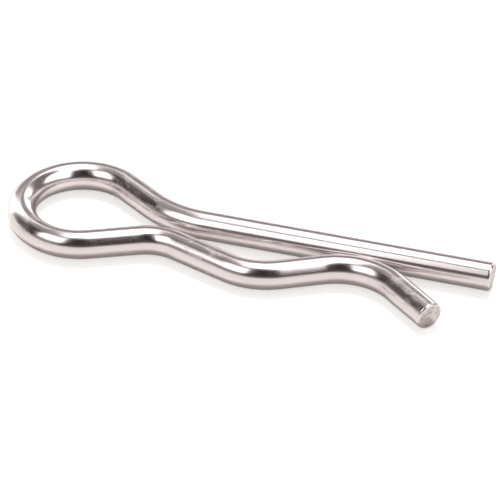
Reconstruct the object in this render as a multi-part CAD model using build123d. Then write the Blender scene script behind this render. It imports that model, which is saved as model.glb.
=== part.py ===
from build123d import *
from math import cos, radians, sin
import os

# An R clip: one length of round spring wire, bent flat. Lengths are in mm and angles in degrees.
# The origin is where the axis of the shaft that the clip locks crosses the axis of the straight leg.
# The straight leg runs along X with its free end at +X, and the sprung leg lies on its -Y side.

# Wire
wire_diameter = 4.0
crop_angle = 5.0  # lean of the cropped end faces, whose lower edge is the shorter one
crop_round = 0.35  # radius where a cropped face meets the side of the wire

# Straight leg, which goes through the cross hole of the shaft
leg_past_shaft = 25.0  # from the side of the shaft to the free end

# Bow of the sprung leg, which hugs the outside of the shaft
shaft_diameter = 14.0
shaft_clearance = 0.05  # between the shaft and the inside of the bow, on the radius

# Neck of the sprung leg, between the bow and the eye
neck_gap = 1.35  # from the crest to the line of the straight leg
neck_bend_radius = 5.2  # inside radius
neck_to_bow_slope = 19.0

# Eye, the finger loop that joins the two legs
eye_bore = 12.5
eye_drop = 1.45  # centre of the eye below the axis of the straight leg
eye_to_neck_slope = 25.1
eye_to_shoulder_slope = 33.5
shoulder_bend_radius = 12.35  # inside radius, where the straight leg turns up to the eye

# Pinch, where the sprung leg all but touches the straight one, and the flared lead-in beyond it
pinch_gap = 0.1
pinch_bend_radius = 7.7  # inside radius
bow_to_pinch_slope = 28.1
flare_angle = 38.5
flare_length = 8.1

# Radii of the bends along the centre line of the wire
wire_radius = wire_diameter / 2
bow_radius = shaft_diameter / 2 + shaft_clearance + wire_radius
neck_radius = neck_bend_radius + wire_radius
eye_radius = eye_bore / 2 + wire_radius
shoulder_radius = shoulder_bend_radius + wire_radius
pinch_radius = pinch_bend_radius + wire_radius


def spacing(radius_a, radius_b, drop, slope):
    """Distance along X between the centres of two opposite bends that a sloping straight run joins."""
    return (radius_a + radius_b - drop * cos(radians(slope))) / sin(radians(slope))


# Centres of the bends, each worked out from the one before it, starting at the bow
bow_centre = (0, 0)
neck_y = -wire_diameter - neck_gap - neck_radius
neck_x = -spacing(neck_radius, bow_radius, -neck_y, neck_to_bow_slope)
neck_centre = (neck_x, neck_y)
eye_x = neck_x - spacing(eye_radius, neck_radius, -eye_drop - neck_y, eye_to_neck_slope)
eye_centre = (eye_x, -eye_drop)
shoulder_rise = shoulder_radius + eye_drop
shoulder_x = eye_x + spacing(eye_radius, shoulder_radius, shoulder_rise, eye_to_shoulder_slope)
shoulder_centre = (shoulder_x, shoulder_radius)
pinch_y = -wire_diameter - pinch_gap - pinch_radius
pinch_x = spacing(bow_radius, pinch_radius, -pinch_y, bow_to_pinch_slope)
pinch_centre = (pinch_x, pinch_y)

# Headings of the straight runs, met in order from the free end of the straight leg to the flared tip
leg_heading = 180
shoulder_heading = leg_heading - eye_to_shoulder_slope
eye_heading = 360 + eye_to_neck_slope
neck_heading = 360 - neck_to_bow_slope
bow_heading = 360 + bow_to_pinch_slope
flare_heading = 360 - flare_angle
bends = [
    (shoulder_centre, shoulder_radius, leg_heading, shoulder_heading),
    (eye_centre, eye_radius, shoulder_heading, eye_heading),
    (neck_centre, neck_radius, eye_heading, neck_heading),
    (bow_centre, bow_radius, neck_heading, bow_heading),
    (pinch_centre, pinch_radius, bow_heading, flare_heading),
]


def heading_vector(heading):
    """Unit vector in the plane of the clip."""
    return Vector(cos(radians(heading)), sin(radians(heading)), 0)


def bend_arc(centre, radius, heading_in, heading_out):
    """Arc that turns the wire from one heading to the next, to the left when the heading grows."""
    side = -90 if heading_out > heading_in else 90
    return CenterArc(centre, radius, heading_in + side, heading_out - heading_in)


def centre_line(leg_end, tip_length):
    """Straight runs and arcs from the end of the straight leg to the tip, each tangent to the next."""
    runs = []
    last = leg_end
    for centre, radius, heading_in, heading_out in bends:
        arc = bend_arc(centre, radius, heading_in, heading_out)
        runs += [Line(last, arc @ 0), arc]
        last = arc @ 1
    runs.append(Line(last, last + heading_vector(flare_heading) * tip_length))
    return Wire([edge for run in runs for edge in run.edges()])


def crop_plane(point, heading):
    """Plane of a cropped end: it faces along the heading and leans down by the crop angle."""
    lean = radians(crop_angle)
    return Plane(origin=point, z_dir=heading_vector(heading) * cos(lean) - Vector(0, 0, sin(lean)))


# The wire is swept past both ends, and each end is then cropped to its length
leg_end = Vector(shaft_diameter / 2 + leg_past_shaft, 0, 0)
spare = wire_diameter
path = centre_line(leg_end + Vector(spare, 0, 0), flare_length + spare)
tip_end = path @ 1 - heading_vector(flare_heading) * spare
section = Plane(origin=path @ 0, z_dir=path % 0) * Circle(wire_radius)
spring_wire = sweep(section, path=path)
for plane in (crop_plane(leg_end, 0), crop_plane(tip_end, flare_heading)):
    spring_wire = split(spring_wire, bisect_by=plane, keep=Keep.BOTTOM)
cropped_faces = spring_wire.faces().filter_by(GeomType.PLANE)
spring_wire = fillet(cropped_faces.edges(), crop_round)
spring_wire.label = "spring_wire"

os.makedirs("parts", exist_ok=True)
export_step(spring_wire, "parts/spring_wire.step")

print("length of wire", round(path.length - 2 * spare, 2))
print("overall size", spring_wire.bounding_box().size)
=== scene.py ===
import math

import bpy
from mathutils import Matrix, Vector


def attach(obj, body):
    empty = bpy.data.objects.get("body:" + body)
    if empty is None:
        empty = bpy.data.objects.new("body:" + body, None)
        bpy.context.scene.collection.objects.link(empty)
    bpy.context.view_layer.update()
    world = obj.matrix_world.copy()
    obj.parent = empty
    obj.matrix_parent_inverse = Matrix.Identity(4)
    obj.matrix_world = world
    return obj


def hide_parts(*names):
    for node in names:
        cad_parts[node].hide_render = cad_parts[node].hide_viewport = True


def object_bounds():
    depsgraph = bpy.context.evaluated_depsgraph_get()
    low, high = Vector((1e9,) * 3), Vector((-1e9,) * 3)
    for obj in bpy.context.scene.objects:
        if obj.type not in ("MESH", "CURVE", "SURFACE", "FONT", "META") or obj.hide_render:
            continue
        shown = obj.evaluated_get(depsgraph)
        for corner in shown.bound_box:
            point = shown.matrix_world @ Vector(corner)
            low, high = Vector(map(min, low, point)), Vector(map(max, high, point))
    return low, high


# Hitch clip pin bent from one length of plated spring wire, lying flat on a pale table.
# Metres throughout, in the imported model's own frame: X runs along the straight leg, Z is up.

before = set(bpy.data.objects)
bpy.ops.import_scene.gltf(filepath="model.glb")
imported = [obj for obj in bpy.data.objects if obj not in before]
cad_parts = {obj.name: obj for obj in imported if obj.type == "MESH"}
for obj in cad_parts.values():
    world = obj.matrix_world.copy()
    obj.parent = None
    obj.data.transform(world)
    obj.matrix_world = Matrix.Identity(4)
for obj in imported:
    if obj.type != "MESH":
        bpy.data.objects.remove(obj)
cadLow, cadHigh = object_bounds()
mm = 0.001
print("frame loaded, model box in mm:", [round((b - a) / mm, 2) for a, b in zip(cadLow, cadHigh)])


def linearColour(hexText):
    # sRGB hex to the linear values that Blender's sockets hold
    parts = [int(hexText[i:i + 2], 16) / 255 for i in (1, 3, 5)]
    return tuple(c / 12.92 if c <= 0.04045 else ((c + 0.055) / 1.055) ** 2.4 for c in parts) + (1.0,)


def addNode(tree, kind, settings=None, inputs=None):
    # one node with its settings; an input is a value or another node's output socket
    node = tree.nodes.new(kind)
    for name, value in (settings or {}).items():
        setattr(node, name, value)
    for key, value in (inputs or {}).items():
        if isinstance(value, bpy.types.NodeSocket):
            tree.links.new(value, node.inputs[key])
        else:
            node.inputs[key].default_value = value
    return node


def addToScene(item):
    bpy.context.scene.collection.objects.link(item)
    return item


def newMaterial(name):
    material = bpy.data.materials.new(name)
    material.use_nodes = True
    material.node_tree.nodes.clear()
    return material, material.node_tree


platedFinish = {
    "colour": "#E4DDDE",        # bright plating over steel, a little rosy
    "roughness": 0.18,          # near mirror, with a faint haze
    "scuffRoughness": 0.34,     # where the bending tools rubbed the plating
    "drawnLine": 0.22,          # mm between drawing lines, coarser than the real 0.05 so that they show
    "drawnLineLength": 14.0,    # mm, how far one line runs along the wire
    "drawnHeight": 0.0012,      # mm
    "peel": 1.1,                # mm round the wire, slow ripple of the plated skin
    "peelLength": 2.2,          # mm along it
    "peelHeight": 0.004,        # mm
    "scuff": 0.75,              # mm, width of a rub mark
    "scuffLength": 2.2,         # mm, length of a rub mark along the wire
    "scuffFrom": 0.48,          # noise level where a rub mark starts to show
    "scuffTo": 0.66,            # and where it is full
}

croppedFinish = {
    "colour": "#D3CACA",        # thin plating over sheared steel, so it is dull and pale
    "pitShadeColour": "#ACA4A3",     # painted shade, darker in the hollows of the torn grain
    "pitTo": 0.35,              # noise level up to which it is all hollow and takes the full painted shade
    "faceFrom": 0.55,           # and from which it is all face
    "roughness": 0.40,
    "grain": 0.55,              # mm, torn grain, several times the real size so it shows
    "grainHeight": 0.006,       # mm
}


# Bright plated spring steel: drawn wire, bent and then barrel plated.
# Gives the eye long crisp bands of light, slightly broken by drawing lines and by rub marks at the bends.
def makePlatedWire(finish):
    material, tree = newMaterial("bright plated drawn spring wire")
    place = addNode(tree, "ShaderNodeAttribute", {"attribute_name": "wirePlace"}).outputs["Vector"]
    drawn = addNode(tree, "ShaderNodeVectorMath", {"operation": "MULTIPLY"}, {
        0: place,
        1: (1 / finish["drawnLine"] / mm, 1 / finish["drawnLine"] / mm, 1 / finish["drawnLineLength"] / mm)})
    drawnNoise = addNode(tree, "ShaderNodeTexNoise", {"noise_dimensions": "3D"}, {
        "Vector": drawn.outputs[0], "Scale": 1.0, "Detail": 3.0, "Roughness": 0.6})
    peel = addNode(tree, "ShaderNodeVectorMath", {"operation": "MULTIPLY"}, {
        0: place, 1: (1 / finish["peel"] / mm, 1 / finish["peel"] / mm, 1 / finish["peelLength"] / mm)})
    peelNoise = addNode(tree, "ShaderNodeTexNoise", {"noise_dimensions": "3D"}, {
        "Vector": peel.outputs[0], "Scale": 1.0, "Detail": 1.0, "Roughness": 0.4})
    scuff = addNode(tree, "ShaderNodeVectorMath", {"operation": "MULTIPLY"}, {
        0: place, 1: (1 / finish["scuff"] / mm, 1 / finish["scuff"] / mm, 1 / finish["scuffLength"] / mm)})
    scuffNoise = addNode(tree, "ShaderNodeTexNoise", {"noise_dimensions": "3D"}, {
        "Vector": scuff.outputs[0], "Scale": 1.0, "Detail": 3.0, "Roughness": 0.55, "Distortion": 0.3})
    rubbed = addNode(tree, "ShaderNodeAttribute", {"attribute_name": "rubbed"}).outputs["Fac"]
    scuffShare = addNode(tree, "ShaderNodeMapRange", {}, {
        "Value": scuffNoise.outputs["Fac"], "From Min": finish["scuffFrom"], "From Max": finish["scuffTo"],
        "To Min": 0.0, "To Max": 1.0})
    scuffHere = addNode(tree, "ShaderNodeMath", {"operation": "MULTIPLY"}, {
        0: scuffShare.outputs[0], 1: rubbed})
    roughness = addNode(tree, "ShaderNodeMapRange", {}, {
        "Value": scuffHere.outputs[0], "From Min": 0.0, "From Max": 1.0,
        "To Min": finish["roughness"], "To Max": finish["scuffRoughness"]})
    bumpPeel = addNode(tree, "ShaderNodeBump", {}, {
        "Height": peelNoise.outputs["Fac"], "Strength": 1.0, "Distance": finish["peelHeight"] * mm})
    bumpDrawn = addNode(tree, "ShaderNodeBump", {}, {
        "Height": drawnNoise.outputs["Fac"], "Strength": 1.0, "Distance": finish["drawnHeight"] * mm,
        "Normal": bumpPeel.outputs["Normal"]})
    metal = addNode(tree, "ShaderNodeBsdfPrincipled", {}, {
        "Base Color": linearColour(finish["colour"]), "Metallic": 1.0,
        "Roughness": roughness.outputs[0], "Normal": bumpDrawn.outputs["Normal"]})
    addNode(tree, "ShaderNodeOutputMaterial", {}, {"Surface": metal.outputs[0]})
    return material


# Cropped wire end: steel sheared off, then plated over.
# Gives the eye a pale dull granular face beside the mirror of the wire, with painted shade in the hollows of
# its grain.
def makeCroppedEnd(finish):
    material, tree = newMaterial("cropped plated steel end")
    place = addNode(tree, "ShaderNodeTexCoord").outputs["Object"]
    grain = addNode(tree, "ShaderNodeTexNoise", {"noise_dimensions": "3D"}, {
        "Vector": place, "Scale": 1 / finish["grain"] / mm, "Detail": 4.0, "Roughness": 0.6})
    # where the bump sinks into the grain the colour turns darker, which is painted shade; the raised face
    # keeps the pale plating colour
    colour = addNode(tree, "ShaderNodeValToRGB", {}, {"Fac": grain.outputs["Fac"]})
    pit, face = colour.color_ramp.elements
    pit.position = finish["pitTo"]
    pit.color = linearColour(finish["pitShadeColour"])
    face.position = finish["faceFrom"]
    face.color = linearColour(finish["colour"])
    bump = addNode(tree, "ShaderNodeBump", {}, {
        "Height": grain.outputs["Fac"], "Strength": 1.0, "Distance": finish["grainHeight"] * mm})
    metal = addNode(tree, "ShaderNodeBsdfPrincipled", {}, {
        "Base Color": colour.outputs["Color"], "Metallic": 1.0,
        "Roughness": finish["roughness"], "Normal": bump.outputs["Normal"]})
    addNode(tree, "ShaderNodeOutputMaterial", {}, {"Surface": metal.outputs[0]})
    return material


platedWire = makePlatedWire(platedFinish)
croppedEnd = makeCroppedEnd(croppedFinish)
print("materials made")


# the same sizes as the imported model, in mm and degrees
clip = {
    "wireDiameter": 4.0,
    "cropAngle": 5.0,           # lean of the cropped ends
    "cropRound": 0.35,          # radius of their rims
    "shaftDiameter": 14.0,
    "shaftClearance": 0.05,
    "legPastShaft": 25.0,       # straight leg beyond the shaft
    "neckGap": 1.35,            # between the neck and the straight leg's line
    "neckBendRadius": 5.2,
    "neckToBowSlope": 19.0,
    "eyeBore": 12.5,
    "eyeDrop": 1.45,            # of the eye's centre below the straight leg's axis
    "eyeToNeckSlope": 25.1,
    "eyeToShoulderSlope": 33.5,
    "shoulderBendRadius": 12.35,
    "pinchGap": 0.1,
    "pinchBendRadius": 7.7,
    "bowToPinchSlope": 28.1,
    "flareAngle": 38.5,
    "flareLength": 8.1,
    # where the bending tools rubbed: mm along the wire from the straight leg's end, and how far to each side
    "rubs": [(51.5, 5.5), (82.0, 2.5), (106.5, 3.5), (138.8, 5.0)],
    # how finely the wire is drawn here
    "drawnUnder": 0.006,        # mm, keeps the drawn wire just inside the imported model
    "sides": 96,                # faces round the wire
    "runStep": 0.8,             # mm between rings on a straight run
    "bendStep": 0.35,           # mm between rings on a bend
    "rimRings": 8,              # rings over the rounded rim of a cropped end
    "faceRings": 14,            # rings across a cropped end
    "faceRingStep": 0.002,      # mm along the wire between them, so that the face is all but flat
    "leanReach": 1.5,           # mm, over which the rings turn from square to the crop's lean
    "nearRings": 9,             # closer rings next to a rim
    "nearStep": 0.15,           # mm between them
    "nearGap": 0.1,             # mm, least room left before the next ordinary ring
    "grainHeight": 0.012,       # mm, torn grain of the cropped ends
    "grainSize": 0.60,          # mm
    "seed": 7,
    "weldDistance": 1e-6,       # m, closes each cropped face where a ring shrinks to a point
    "faceShareAbove": 0.75,     # points with more than this share of face get the cropped finish
}


def spacing(radiusA, radiusB, drop, slope):
    # distance along X between two opposite bends joined by a straight sloping run
    angle = math.radians(slope)
    return (radiusA + radiusB - drop * math.cos(angle)) / math.sin(angle)


def wireBends(c):
    # each bend as centre x, centre y, centre-line radius, heading in, heading out
    r = c["wireDiameter"] / 2
    bow = c["shaftDiameter"] / 2 + c["shaftClearance"] + r
    neck = c["neckBendRadius"] + r
    eye = c["eyeBore"] / 2 + r
    shoulder = c["shoulderBendRadius"] + r
    pinch = c["pinchBendRadius"] + r
    neckY = -c["wireDiameter"] - c["neckGap"] - neck
    neckX = -spacing(neck, bow, -neckY, c["neckToBowSlope"])
    eyeX = neckX - spacing(eye, neck, -c["eyeDrop"] - neckY, c["eyeToNeckSlope"])
    shoulderX = eyeX + spacing(eye, shoulder, shoulder + c["eyeDrop"], c["eyeToShoulderSlope"])
    pinchY = -c["wireDiameter"] - c["pinchGap"] - pinch
    pinchX = spacing(bow, pinch, -pinchY, c["bowToPinchSlope"])
    headings = [180, 180 - c["eyeToShoulderSlope"], 360 + c["eyeToNeckSlope"],
                360 - c["neckToBowSlope"], 360 + c["bowToPinchSlope"], 360 - c["flareAngle"]]
    centres = [(shoulderX, shoulder, shoulder), (eyeX, -c["eyeDrop"], eye), (neckX, neckY, neck),
               (0.0, 0.0, bow), (pinchX, pinchY, pinch)]
    return [(x, y, radius, headings[i], headings[i + 1]) for i, (x, y, radius) in enumerate(centres)]


def wireRuns(c):
    # straight runs and bends in order:
    # ("run", start, heading, length) or ("bend", centre, radius, from, turn)
    here = Vector((c["shaftDiameter"] / 2 + c["legPastShaft"], 0.0))
    runs = []
    heading = 180.0
    for x, y, radius, headingIn, headingOut in wireBends(c):
        side = -90 if headingOut > headingIn else 90
        start = math.radians(headingIn + side)
        end = math.radians(headingOut + side)
        bendStart = Vector((x + radius * math.cos(start), y + radius * math.sin(start)))
        runs.append(("run", here, heading, (bendStart - here).length))
        runs.append(("bend", Vector((x, y)), radius, start, end - start))
        here = Vector((x + radius * math.cos(end), y + radius * math.sin(end)))
        heading = headingOut
    runs.append(("run", here, heading, c["flareLength"]))
    return runs


def runLength(run):
    return run[3] if run[0] == "run" else abs(run[4]) * run[2]


def pointOnWire(runs, s):
    # centre-line point at s mm from the straight leg's end
    for run in runs:
        length = runLength(run)
        if s <= length + 1e-9 or run is runs[-1]:
            break
        s -= length
    if run[0] == "run":
        kind, start, heading, length = run
        angle = math.radians(heading)
        return start + Vector((math.cos(angle), math.sin(angle))) * s
    kind, centre, radius, begin, turn = run
    angle = begin + turn * s / length
    return centre + Vector((math.cos(angle), math.sin(angle))) * radius


def wireStations(c):
    # rings along the wire, each with its distance, girth from 0 to 1, which way is outward along the line
    # (-1 at the start, 1 at the end, 0 between), share of cropped face and how much it was rubbed
    runs = wireRuns(c)
    rimWidth = c["cropRound"]
    radius = c["wireDiameter"] / 2
    lengths = [runLength(run) for run in runs]
    total = sum(lengths)
    ends = []
    for k in range(c["faceRings"] + 1):  # from the middle of the face out to its rim
        ends.append((k * c["faceRingStep"], (radius - rimWidth) * k / c["faceRings"] / radius, 1.0))
    inner = ends[-1][0]
    for k in range(1, c["rimRings"] + 1):
        t = math.radians(90 * k / c["rimRings"])
        ends.append((inner + rimWidth * (1 - math.cos(t)), 1 - rimWidth * (1 - math.sin(t)) / radius, 0.0))
    reach = ends[-1][0]                  # where the rim ends and the full round wire starts
    stations = list(ends)
    marks = []
    at = 0.0
    for run, length in zip(runs, lengths):
        step = c["runStep"] if run[0] == "run" else c["bendStep"]
        count = max(1, round(length / step))
        marks += [at + length * k / count for k in range(count)]
        at += length
    near = [reach + c["nearStep"] * k for k in range(1, c["nearRings"] + 1)]
    clear = near[-1] + c["nearGap"]
    between = [s for s in marks if clear < s < total - clear]
    for s in near + between + [total - s for s in reversed(near)]:
        stations.append((s, 1.0, 0.0))
    stations += [(total - s, girth, face) for s, girth, face in reversed(ends)]
    full = []
    for s, girth, face in stations:
        outward = max(0.0, 1 - (total - s) / c["leanReach"]) - max(0.0, 1 - s / c["leanReach"])
        rubbed = max(math.exp(-((s - middle) / half) ** 4) for middle, half in c["rubs"])
        full.append((s, girth, outward, face, rubbed))
    return runs, full, total


def centreLineMesh(c):
    runs, stations, total = wireStations(c)
    points = [pointOnWire(runs, s[0]) for s in stations]
    mesh = bpy.data.meshes.new("spring wire centre line")
    steps = [(i, i + 1) for i in range(len(points) - 1)]
    mesh.from_pydata([(p.x * mm, p.y * mm, 0.0) for p in points], steps, [])
    columns = (("along", mm), ("girth", 1), ("outward", 1), ("faceShare", 1), ("rubbed", 1))
    for column, (name, scale) in enumerate(columns):
        layer = mesh.attributes.new(name, "FLOAT", "POINT")
        layer.data.foreach_set("value", [s[column] * scale for s in stations])
    print("centre line:", len(points), "rings,", round(total, 2), "mm of wire")
    return mesh


def wireTree():
    # sweeps the round wire along the centre line and shapes its cropped ends
    tree = bpy.data.node_groups.new("plated wire sweep", "GeometryNodeTree")
    for name, kind, value in (
            ("Centre line", "NodeSocketGeometry", None), ("Wire radius", "NodeSocketFloat", 0.002),
            ("Sides", "NodeSocketInt", 96), ("Crop slope", "NodeSocketFloat", 0.0),
            ("Grain height", "NodeSocketFloat", 0.0), ("Grain size", "NodeSocketFloat", 0.0003),
            ("Seed", "NodeSocketInt", 1), ("Weld distance", "NodeSocketFloat", 0.000001),
            ("Face share above", "NodeSocketFloat", 0.75), ("Plating", "NodeSocketMaterial", None),
            ("Cropped face", "NodeSocketMaterial", None)):
        socket = tree.interface.new_socket(name, in_out="INPUT", socket_type=kind)
        if value is not None:
            socket.default_value = value
    tree.interface.new_socket("Wire", in_out="OUTPUT", socket_type="NodeSocketGeometry")
    given = addNode(tree, "NodeGroupInput").outputs
    position = addNode(tree, "GeometryNodeInputPosition").outputs[0]

    def attribute(name, kind="FLOAT"):
        node = addNode(tree, "GeometryNodeInputNamedAttribute", {"data_type": kind}, {"Name": name})
        return next(s for s in node.outputs if s.enabled)

    def store(geometry, name, value, kind="FLOAT"):
        node = addNode(tree, "GeometryNodeStoreNamedAttribute", {"data_type": kind, "domain": "POINT"}, {
            "Geometry": geometry, "Name": name})
        tree.links.new(value, next(s for s in node.inputs if s.name == "Value" and s.enabled))
        return node.outputs[0]

    def calculate(operation, first, second=None):
        inputs = {0: first} if second is None else {0: first, 1: second}
        return addNode(tree, "ShaderNodeMath", {"operation": operation}, inputs).outputs[0]

    line = addNode(tree, "GeometryNodeMeshToCurve", {}, {"Mesh": given["Centre line"]}).outputs[0]
    line = store(line, "centre", position, "FLOAT_VECTOR")
    tangent = addNode(tree, "GeometryNodeInputTangent").outputs[0]
    line = store(line, "heading", tangent, "FLOAT_VECTOR")
    line = addNode(tree, "GeometryNodeSetCurveNormal", {"mode": "Z_UP"}, {"Curve": line}).outputs[0]
    line = addNode(tree, "GeometryNodeSetCurveRadius", {}, {
        "Curve": line, "Radius": attribute("girth")}).outputs[0]
    ring = addNode(tree, "GeometryNodeCurvePrimitiveCircle", {"mode": "RADIUS"}, {
        "Resolution": given["Sides"], "Radius": given["Wire radius"]}).outputs[0]
    ring = store(ring, "around", position, "FLOAT_VECTOR")
    wire = addNode(tree, "GeometryNodeCurveToMesh", {}, {
        "Curve": line, "Profile Curve": ring, "Scale": attribute("girth")}).outputs[0]

    # the crop's lean: points above the centre line move out, those below move in
    offset = addNode(tree, "ShaderNodeVectorMath", {"operation": "SUBTRACT"}, {
        0: position, 1: attribute("centre", "FLOAT_VECTOR")})
    height = addNode(tree, "ShaderNodeSeparateXYZ", {}, {0: offset.outputs[0]}).outputs["Z"]
    slope = calculate("MULTIPLY", height, given["Crop slope"])
    slope = calculate("MULTIPLY", slope, attribute("outward"))
    lean = addNode(tree, "ShaderNodeVectorMath", {"operation": "SCALE"}, {
        0: attribute("heading", "FLOAT_VECTOR"), "Scale": slope}).outputs[0]
    wire = addNode(tree, "GeometryNodeSetPosition", {}, {"Geometry": wire, "Offset": lean}).outputs[0]

    # torn grain, cut into the faces only
    scale = calculate("DIVIDE", 1.0, given["Grain size"])
    noise = addNode(tree, "ShaderNodeTexNoise", {"noise_dimensions": "4D"}, {
        "Vector": position, "W": given["Seed"], "Scale": scale, "Detail": 2.0}).outputs[0]
    depth = calculate("MULTIPLY", noise, given["Grain height"])
    depth = calculate("MULTIPLY", depth, attribute("faceShare"))
    depth = calculate("MULTIPLY", depth, -1.0)
    side = calculate("SIGN", attribute("outward"))
    depth = calculate("MULTIPLY", depth, side)
    cut = addNode(tree, "ShaderNodeVectorMath", {"operation": "SCALE"}, {
        0: attribute("heading", "FLOAT_VECTOR"), "Scale": depth}).outputs[0]
    wire = addNode(tree, "GeometryNodeSetPosition", {}, {"Geometry": wire, "Offset": cut}).outputs[0]

    # where each point is on the wire: round it in X and Y, along it in Z
    around = addNode(tree, "ShaderNodeSeparateXYZ", {}, {0: attribute("around", "FLOAT_VECTOR")}).outputs
    place = addNode(tree, "ShaderNodeCombineXYZ", {}, {
        "X": around["X"], "Y": around["Y"], "Z": attribute("along")}).outputs[0]
    wire = store(wire, "wirePlace", place, "FLOAT_VECTOR")
    for name in ("centre", "heading", "around", "along", "girth", "outward"):
        wire = addNode(tree, "GeometryNodeRemoveAttribute", {}, {
            "Geometry": wire, "Name": name}).outputs[0]
    wire = addNode(tree, "GeometryNodeMergeByDistance", {}, {
        "Geometry": wire, "Distance": given["Weld distance"]}).outputs[0]
    wire = addNode(tree, "GeometryNodeSetShadeSmooth", {}, {
        "Geometry": wire, "Shade Smooth": True}).outputs[0]
    wire = addNode(tree, "GeometryNodeRealizeInstances", {}, {"Geometry": wire}).outputs[0]
    wire = addNode(tree, "GeometryNodeSetMaterial", {}, {
        "Geometry": wire, "Material": given["Plating"]}).outputs[0]
    isFace = addNode(tree, "FunctionNodeCompare", {"data_type": "FLOAT", "operation": "GREATER_THAN"}, {
        0: attribute("faceShare"), 1: given["Face share above"]}).outputs[0]
    wire = addNode(tree, "GeometryNodeSetMaterial", {}, {
        "Geometry": wire, "Selection": isFace, "Material": given["Cropped face"]}).outputs[0]
    addNode(tree, "NodeGroupOutput", {}, {0: wire})
    return tree


def sweptWire(c, plating, face):
    line = addToScene(bpy.data.objects.new("centre line", centreLineMesh(c)))
    modifier = line.modifiers.new("sweep", "NODES")
    modifier.node_group = wireTree()
    values = {
        "Wire radius": (c["wireDiameter"] / 2 - c["drawnUnder"]) * mm,
        "Sides": c["sides"],
        "Crop slope": math.tan(math.radians(c["cropAngle"])),
        "Grain height": c["grainHeight"] * mm,
        "Grain size": c["grainSize"] * mm,
        "Seed": c["seed"],
        "Weld distance": c["weldDistance"],
        "Face share above": c["faceShareAbove"],
        "Plating": plating,
        "Cropped face": face,
    }
    for item in modifier.node_group.interface.items_tree:
        if item.in_out == "INPUT" and item.name in values:
            modifier[item.identifier] = values[item.name]
    ready = line.evaluated_get(bpy.context.evaluated_depsgraph_get())
    mesh = bpy.data.meshes.new_from_object(ready)
    mesh.name = "spring wire"
    line.modifiers.remove(modifier)
    bpy.data.objects.remove(line)
    return addToScene(bpy.data.objects.new("spring_wire_plated", mesh))


wire = sweptWire(clip, platedWire, croppedEnd)
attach(wire, "root")
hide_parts("spring_wire")
print("spring wire:", len(wire.data.polygons), "faces, materials", [m.name for m in wire.data.materials])


table = {
    "colour": "#F5F2EE",        # white sheet
    "lift": 0.58,               # light added where the camera sees the sheet, so it reads white
    "metalLift": 0.02,          # the same where metal or glass sees it
    "roughness": 0.35,          # a faint sheen, seen where the metal mirrors it at a low angle
    "specular": 0.5,
    "halfWidth": 6.0,           # m
}


# Smooth white card for photographs.
# Gives the eye a plain white ground that keeps the clip's shadow, and a pale floor in the metal.
def makeTable(t):
    material, tree = newMaterial("white card table sheet")
    paths = addNode(tree, "ShaderNodeLightPath").outputs
    inMetal = addNode(tree, "ShaderNodeMath", {"operation": "MAXIMUM"}, {
        0: paths["Is Glossy Ray"], 1: paths["Is Transmission Ray"]})
    inMetal = addNode(tree, "ShaderNodeMath", {"operation": "MULTIPLY"}, {
        0: inMetal.outputs[0], 1: t["metalLift"]})
    lift = addNode(tree, "ShaderNodeMath", {"operation": "MULTIPLY_ADD"}, {
        0: paths["Is Camera Ray"], 1: t["lift"], 2: inMetal.outputs[0]})
    sheet = addNode(tree, "ShaderNodeBsdfPrincipled", {}, {
        "Base Color": linearColour(t["colour"]), "Roughness": t["roughness"],
        "Specular IOR Level": t["specular"],
        "Emission Color": (1.0, 1.0, 1.0, 1.0), "Emission Strength": lift.outputs[0]})
    addNode(tree, "ShaderNodeOutputMaterial", {}, {"Surface": sheet.outputs[0]})
    mesh = bpy.data.meshes.new("table sheet")
    w = t["halfWidth"]
    z = cadLow.z
    mesh.from_pydata([(-w, -w, z), (w, -w, z), (w, w, z), (-w, w, z)], [], [(0, 1, 2, 3)])
    mesh.materials.append(material)
    addToScene(bpy.data.objects.new("table_sheet", mesh))


makeTable(table)

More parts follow.
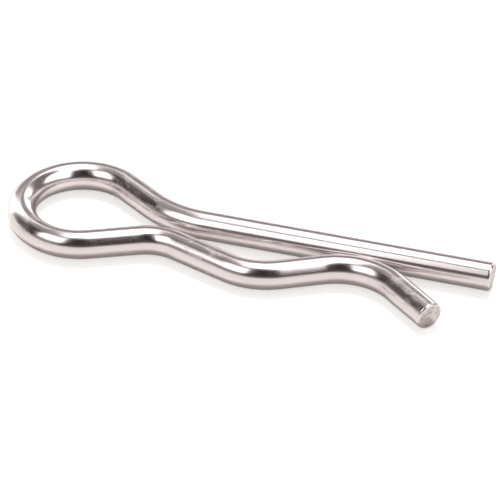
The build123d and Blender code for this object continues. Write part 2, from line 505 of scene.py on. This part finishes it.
# One key light for the table, and softboxes, panels and cloths that only the metal mirrors.
# Level ones are placed in metres along X and Y for each metre of height, so as directions from the clip.
# Bearings are in degrees clockwise from +Y, seen from above. A level of 1 looks white.
studio = {
    "keyHeight": 1.30,          # m, above the softboxes, which don't stop its light
    "height": 1.20,             # m, level softboxes
    "clothHeight": 1.12,        # m, cloths hang just below the softboxes
    "tint": "#FFFEFD",          # of the key, softboxes and panels
    # x, y, width, length, turn in degrees, level
    "key": (-0.18, 0.68, 0.40, 0.80, 15.0, 18.8),
    "levelBoxes": {
        "box_over": (-0.08, 0.48, 0.46, 1.10, 7.0, 1.9),
        "box_left": (-0.63, -0.70, 0.97, 1.24, -25.0, 1.7),
        "box_right": (0.92, -0.40, 1.66, 1.90, 0.0, 1.8),
    },
    "standingDistance": 1.30,   # m
    # corners as bearing and elevation in degrees, seen from the clip, then level
    "standingPanels": {
        "panel_far_left": ([(290, 0), (315, 0), (314, 18), (318, 27), (326, 34), (337, 35.5), (336, 42),
                            (325, 44), (309, 45), (299, 36), (293, 25), (290, 12)], 1.8),
        "panel_far": ([(-2.5, 0), (9, 0), (12.5, 8), (14, 14), (12.5, 18.5), (7, 25), (1, 29.5), (8, 28.5),
                       (15.5, 22.5), (21, 16.5), (28, 19), (31, 25), (26, 33), (16, 39.5), (-3, 41),
                       (-8, 38.5), (-3, 30)], 1.8),
    },
    # corners as x and y, then how light the cloth looks
    "cloths": {
        "cloth_front": ([(-0.17, -0.27), (-0.37, -0.19), (-0.37, -0.11), (-0.16, -0.15), (0.14, -0.19),
                         (0.22, -0.15), (0.42, -0.40), (0.69, -0.72), (1.05, -1.10), (2.00, -2.40),
                         (-0.75, -2.40), (-0.50, -1.70), (-0.33, -1.35), (0.24, -1.35), (0.24, -0.42),
                         (-0.19, -0.42)], "#3A312F"),
        "cloth_front_dark": ([(-0.19, -0.42), (0.24, -0.42), (0.24, -1.35), (-0.33, -1.35), (-0.31, -1.25),
                              (-0.24, -0.80)], "#1E1816"),
        "cloth_front_low": ([(-0.75, -2.40), (2.00, -2.40), (4.20, -5.00), (-1.70, -5.00)], "#776E6C"),
        "cloth_left": ([(-0.52, 0.10), (-0.60, -0.12), (-0.90, -0.42), (-1.35, -0.85), (-2.40, -1.40),
                        (-2.50, -0.45), (-1.20, -0.02), (-0.75, 0.22)], "#2E2725"),
        "cloth_left_far": ([(-0.75, 0.22), (-1.20, -0.02), (-2.50, -0.45), (-3.40, 0.20), (-2.20, 0.50),
                            (-0.80, 0.50)], "#625A57"),
        "cloth_far_right": ([(-0.12, 1.10), (-0.08, 0.82), (0.00, 0.58), (0.12, 0.36), (0.26, 0.20),
                             (0.60, 0.38), (1.20, 0.52), (2.90, 0.75), (3.00, 1.75), (1.30, 1.55),
                             (0.60, 1.10)], "#736D6C"),
    },
    "ceilingHeight": 1.40,      # m
    "ceilingRadius": 8.00,      # m, so the pale room shows below 10 degrees
    "ceilingSides": 64,
    "ceilingLook": "#979090",
}


def stagePolygon(name, corners, hexText, level):
    # a cloth or panel that glows with the light it would send back, seen by metal only
    material, tree = newMaterial(name.replace("_", " "))
    glow = addNode(tree, "ShaderNodeEmission", {}, {"Color": linearColour(hexText), "Strength": level})
    addNode(tree, "ShaderNodeOutputMaterial", {}, {"Surface": glow.outputs[0]})
    mesh = bpy.data.meshes.new(name)
    mesh.from_pydata(corners, [], [list(range(len(corners)))])
    mesh.materials.append(material)
    polygon = addToScene(bpy.data.objects.new(name, mesh))
    polygon.visible_camera = False
    polygon.visible_diffuse = False


def standing(corners, distance):
    # corners on one upright plane that faces the clip
    middle = math.radians(sum(bearing for bearing, elevation in corners) / len(corners))
    points = []
    for bearing, elevation in corners:
        a = math.radians(bearing)
        out = distance / math.cos(a - middle)
        points.append((math.sin(a) * out, math.cos(a) * out, math.tan(math.radians(elevation)) * out))
    return points


def softbox(name, width, length, level, tint, lightsTable):
    # it lights the table or shows in metal, never both
    lamp = bpy.data.lights.new(name, "AREA")
    lamp.shape = "RECTANGLE"
    lamp.size = width
    lamp.size_y = length
    lamp.energy = level * math.pi * width * length
    lamp.color = linearColour(tint)[:3]
    box = addToScene(bpy.data.objects.new(name, lamp))
    box.visible_camera = False
    box.visible_diffuse = lightsTable
    box.visible_glossy = not lightsTable
    return box


def makeStudio(s):
    for name, (x, y, width, length, turn, level) in [("key", s["key"]), *s["levelBoxes"].items()]:
        h = s["keyHeight"] if name == "key" else s["height"]
        box = softbox(name, width * h, length * h, level, s["tint"], name == "key")
        box.location = (x * h, y * h, h)
        box.rotation_euler = (0.0, 0.0, math.radians(turn))
    for name, (corners, level) in s["standingPanels"].items():
        stagePolygon(name, standing(corners, s["standingDistance"]), s["tint"], level)
    k = s["clothHeight"]
    for name, (corners, hexText) in s["cloths"].items():
        stagePolygon(name, [(x * k, y * k, k) for x, y in corners], hexText, 1.0)
    r = s["ceilingRadius"]
    turns = [2 * math.pi * i / s["ceilingSides"] for i in range(s["ceilingSides"])]
    ceiling = [(r * math.cos(a), r * math.sin(a), s["ceilingHeight"]) for a in turns]
    stagePolygon("room_ceiling", ceiling, s["ceilingLook"], 1.0)


makeStudio(studio)

roomLight = {
    "colour": "#FFFCFA",
    "fill": 0.40,               # how much the pale room adds to the light on matt things
    "seen": 1.0,                # what the camera, metal and glass see of it, 1 is white
}


def makeRoom(r):
    world = bpy.data.worlds.new("pale room")
    bpy.context.scene.world = world
    world.use_nodes = True
    tree = world.node_tree
    tree.nodes.clear()
    paths = addNode(tree, "ShaderNodeLightPath").outputs
    seen = addNode(tree, "ShaderNodeMath", {"operation": "MAXIMUM"}, {
        0: paths["Is Camera Ray"], 1: paths["Is Glossy Ray"]})
    seen = addNode(tree, "ShaderNodeMath", {"operation": "MAXIMUM"}, {
        0: seen.outputs[0], 1: paths["Is Transmission Ray"]})
    level = addNode(tree, "ShaderNodeMapRange", {}, {
        "Value": seen.outputs[0], "From Min": 0.0, "From Max": 1.0,
        "To Min": r["fill"], "To Max": r["seen"]})
    sky = addNode(tree, "ShaderNodeBackground", {}, {
        "Color": linearColour(r["colour"]), "Strength": level.outputs[0]})
    addNode(tree, "ShaderNodeOutputWorld", {}, {"Surface": sky.outputs[0]})


makeRoom(roomLight)
print("table, lights and room made")

# the photograph's view: long lens, well above the table
view = {
    "elevation": 35.613,        # degrees above the table
    "azimuth": 17.166,          # degrees round from the sprung leg's side, towards the free ends
    "target": (-1.164 * mm, -3.821 * mm, 0.0),      # m, under the middle of the picture
    "distance": 0.8,            # m
    "pixelsPerMetre": 7351.0,   # at the target
    "pixels": 500,              # across the picture
    "sensor": 36.0,             # mm
    "nearest": 0.01,            # m
    "farthest": 20.0,           # m
}


def makeCamera(v):
    a = math.radians(v["azimuth"])
    e = math.radians(v["elevation"])
    back = Vector((math.sin(a) * math.cos(e), -math.cos(a) * math.cos(e), math.sin(e)))
    right = Vector((math.cos(a), math.sin(a), 0.0))
    up = back.cross(right)
    halfPixel = 0.5 / v["pixelsPerMetre"]  # the middle of the picture falls between two pixels
    target = Vector(v["target"]) - right * halfPixel + up * halfPixel
    data = bpy.data.cameras.new("photo view")
    data.sensor_width = v["sensor"]
    data.lens = v["pixelsPerMetre"] * v["distance"] * v["sensor"] / v["pixels"]
    data.clip_start = v["nearest"]
    data.clip_end = v["farthest"]
    camera = addToScene(bpy.data.objects.new("photo view", data))
    camera.location = target + back * v["distance"]
    camera.rotation_mode = "QUATERNION"
    camera.rotation_quaternion = back.to_track_quat("Z", "Y")
    bpy.context.scene.camera = camera


makeCamera(view)
bpy.context.scene.view_settings.view_transform = "Standard"
print("camera made")
